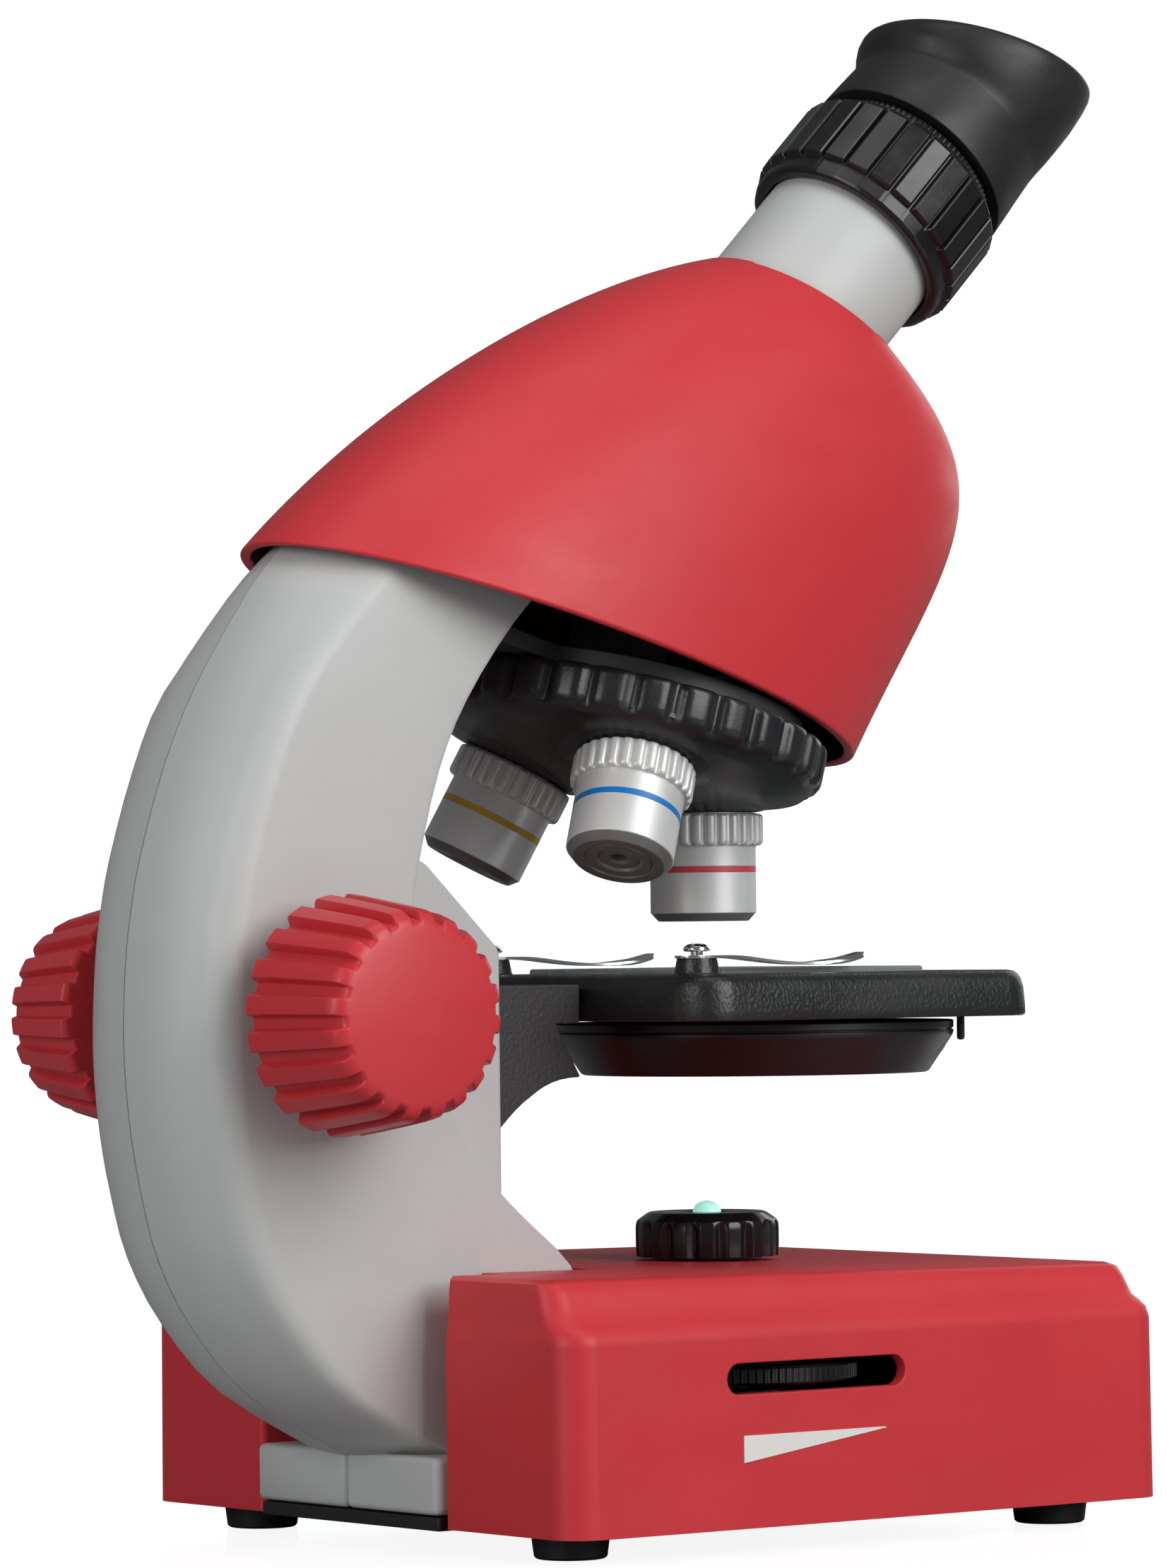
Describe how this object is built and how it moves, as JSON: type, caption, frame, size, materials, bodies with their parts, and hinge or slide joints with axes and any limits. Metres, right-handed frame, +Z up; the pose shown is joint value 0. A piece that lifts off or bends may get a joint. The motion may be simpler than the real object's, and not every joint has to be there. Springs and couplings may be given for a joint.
{
  "type": "toy microscope",
  "caption": "Junior compound microscope with lamp base, C-shaped arm, focusing stage, three-objective turret, tapered hood and inclined zoom eyepiece.",
  "frame": {"origin": "middle of the object's footprint box, on the surface the feet stand on", "axes": "+Z up, -Y towards the user (eyepiece side), X across the two focus knobs with +X to the right when looking along +Y"},
  "size_m": [0.128, 0.2196, 0.2804],
  "materials": {
    "red_plastic": "satin moulded",
    "grey_plastic": "satin moulded",
    "black_plastic": "satin to fine texture",
    "black_rubber": "matte",
    "spring_steel": "polished strip",
    "steel": "turned",
    "chrome": "polished",
    "brass": "machined",
    "satin_silver": "satin metallised",
    "optical_glass": "clear",
    "circuit_board": "lacquered",
    "wire_sleeve": "smooth",
    "cell_wrap": "plain printed sleeve"
  },
  "bodies": {
    "stand": {"base_shell": "red_plastic", "base_plate": "black_plastic", "foot_rear_left": "black_rubber", "foot_rear_right": "black_rubber", "foot_front_left": "black_rubber", "foot_front_right": "black_rubber", "battery_tray": "black_plastic", "battery_1": "cell_wrap", "battery_2": "cell_wrap", "battery_3": "cell_wrap", "contact_positive": "spring_steel", "contact_bridge_rear": "spring_steel", "contact_bridge_front": "spring_steel", "contact_negative": "spring_steel", "lamp_collar": "black_plastic", "lamp_led": "optical_glass", "lamp_board": "circuit_board", "dimmer_potentiometer": "steel", "dimmer_board": "circuit_board", "lamp_lead": "wire_sleeve", "arm_left_half": "grey_plastic", "arm_right_half": "grey_plastic", "shaft_bush_left": "brass", "shaft_bush_right": "brass", "turret_pivot": "steel", "head_plate": "grey_plastic", "head_hood": "red_plastic", "eyepiece_tube": "grey_plastic", "eye_lens_holder": "black_plastic", "eye_lens": "optical_glass", "eyecup": "black_rubber", "prism": "optical_glass", "prism_holder": "black_plastic"},
    "battery_cover": {"battery_door": "black_plastic"},
    "dimmer": {"dimmer_wheel": "black_plastic"},
    "focus_drive": {"focus_shaft": "steel", "focus_pinion": "brass", "focus_knob_left": "red_plastic", "focus_knob_right": "red_plastic"},
    "stage": {"focus_rack": "brass", "stage_carriage": "black_plastic", "stage_plate": "black_plastic", "stage_glass": "optical_glass", "clip_screw_left": "chrome", "clip_screw_right": "chrome", "wheel_screw": "steel"},
    "clip_left": {"stage_clip_left": "spring_steel"},
    "clip_right": {"stage_clip_right": "spring_steel"},
    "diaphragm": {"diaphragm_wheel": "black_plastic"},
    "turret": {"turret_disc": "black_plastic", "objective_low": "satin_silver", "objective_middle": "satin_silver", "objective_high": "satin_silver", "objective_lens_low": "optical_glass", "objective_lens_middle": "optical_glass", "objective_lens_high": "optical_glass"},
    "zoom_collar": {"zoom_ring": "black_plastic"},
    "zoom_cell": {"zoom_lens_cell": "black_plastic", "zoom_lens": "optical_glass"}
  },
  "joints": [
    {"name": "stage_focus", "type": "slide", "parent": "stand", "child": "stage", "axis": [0, 0, 1], "range_m": [-0.02, 0.003]},
    {"name": "focus_turn", "type": "hinge", "parent": "stand", "child": "focus_drive", "pos_m": [0, 0.08296, 0.0943], "axis": [-1, 0, 0], "range_deg": [-230, 36]},
    {"name": "turret_turn", "type": "hinge", "parent": "stand", "child": "turret", "pos_m": [0, -0.01924, 0.204], "axis": [0, -0.2756, 0.9613], "continuous": true},
    {"name": "zoom_turn", "type": "hinge", "parent": "stand", "child": "zoom_collar", "pos_m": [0, -0.05664, 0.2376], "axis": [0, -0.7071, 0.7071], "range_deg": [0, 120]},
    {"name": "zoom_cell_slide", "type": "slide", "parent": "stand", "child": "zoom_cell", "axis": [0, -0.7071, 0.7071], "range_m": [-0.0001, 0.0033]},
    {"name": "clip_left_swing", "type": "hinge", "parent": "stage", "child": "clip_left", "pos_m": [-0.03075, 0.00706, 0.1039], "axis": [0, 0, 1], "range_deg": [-90, 35]},
    {"name": "clip_right_swing", "type": "hinge", "parent": "stage", "child": "clip_right", "pos_m": [0.03075, 0.00706, 0.1039], "axis": [0, 0, -1], "range_deg": [-90, 35]},
    {"name": "diaphragm_turn", "type": "hinge", "parent": "stage", "child": "diaphragm", "pos_m": [0, -0.03104, 0.0866], "axis": [0, 0, 1], "continuous": true},
    {"name": "dimmer_turn", "type": "hinge", "parent": "stand", "child": "dimmer", "pos_m": [-0.0418, 0.00756, 0.0305], "axis": [0, 0, 1], "range_deg": [0, 270]},
    {"name": "battery_door_slide", "type": "slide", "parent": "stand", "child": "battery_cover", "axis": [0, 0, -1], "range_m": [0, 0.012]}
  ],
  "couplings": [
    {"joint": "focus_turn", "follows": "stage_focus", "rad_per_m": 200},
    {"joint": "zoom_cell_slide", "follows": "zoom_turn", "m_per_rad": 0.0015}
  ]
}
